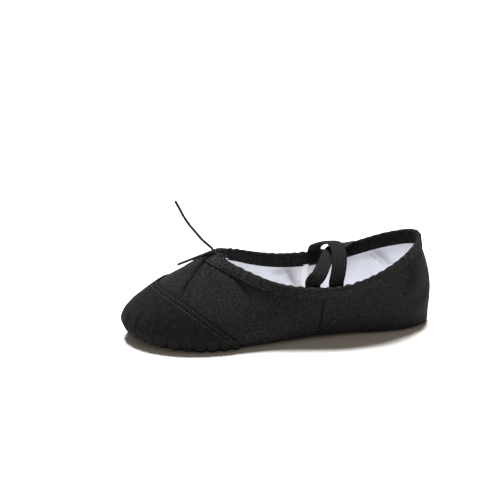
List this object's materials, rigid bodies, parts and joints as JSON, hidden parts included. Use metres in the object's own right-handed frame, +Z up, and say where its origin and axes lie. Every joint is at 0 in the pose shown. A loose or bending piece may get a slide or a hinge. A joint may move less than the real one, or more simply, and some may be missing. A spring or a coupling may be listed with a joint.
{
  "type": "ballet slipper",
  "caption": "Soft split-sole ballet slipper with a canvas upper, suede toe cap, drawstring topline, crossed elastic straps and white cotton lining",
  "frame": {"origin": "on the ground, in the middle of the shoe's length and width; the drawstring's free tails are not counted", "axes": "+X to the toe, +Y to the wearer's left, +Z up; the shoe stands on its two sole pads at z = 0"},
  "size_m": [0.2222, 0.0778, 0.0968],
  "materials": {
    "canvas": "matt plain-weave cotton canvas",
    "suede": "matt suede with a short nap",
    "cotton": "matt cotton lining",
    "binding": "matt folded cotton binding",
    "elastic": "ribbed woven elastic",
    "cord": "waxed round cord",
    "thread": "polyester sewing thread"
  },
  "bodies": {
    "forefoot": {"toe_cap": "suede", "vamp": "canvas", "vamp_lining": "cotton", "arch_panel": "canvas", "insole_sock": "cotton", "forefoot_sole": "suede", "topline_casing": "binding", "casing_stitching": "thread", "drawstring": "cord", "drawstring_knot": "cord", "drawstring_end_long": "cord", "drawstring_end_short": "cord", "toe_cap_stitching": "thread"},
    "heel": {"quarter_left": "canvas", "quarter_right": "canvas", "quarter_lining_left": "cotton", "quarter_lining_right": "cotton", "heel_sole": "suede", "heel_seam_tape": "cotton", "side_seam_tape_left": "cotton", "side_seam_tape_right": "cotton", "heel_seam_stitching": "thread", "side_seam_stitching_left": "thread", "side_seam_stitching_right": "thread", "strap_end_front_left": "elastic", "strap_end_front_right": "elastic", "strap_end_rear_left": "elastic", "strap_end_rear_right": "elastic"},
    "strap_over": {"elastic_strap_over": "elastic"},
    "strap_under": {"elastic_strap_under": "elastic"}
  },
  "joints": [
    {"name": "arch_flex", "type": "hinge", "parent": "forefoot", "child": "heel", "pos_m": [0.005, 0, 0.018], "axis": [0, 1, 0], "range_deg": [-30, 20], "stiffness_Nm_per_rad": 0.05, "deforming": ["vamp", "vamp_lining", "arch_panel", "insole_sock", "topline_casing", "casing_stitching", "drawstring"]},
    {"name": "strap_over_swing", "type": "hinge", "parent": "heel", "child": "strap_over", "pos_m": [-0.03304, 0, 0.04289], "axis": [0.0147, -0.9999, -0.0011], "range_deg": [-30, 30], "stiffness_Nm_per_rad": 0.002, "deforming": ["elastic_strap_over"]},
    {"name": "strap_under_swing", "type": "hinge", "parent": "heel", "child": "strap_under", "pos_m": [-0.03778, 0.00015, 0.04548], "axis": [-0.5391, -0.8391, 0.0724], "range_deg": [-30, 30], "stiffness_Nm_per_rad": 0.002, "deforming": ["elastic_strap_under"]}
  ],
  "couplings": [
    {"joint": "strap_under_swing", "follows": "strap_over_swing", "ratio": 1}
  ]
}
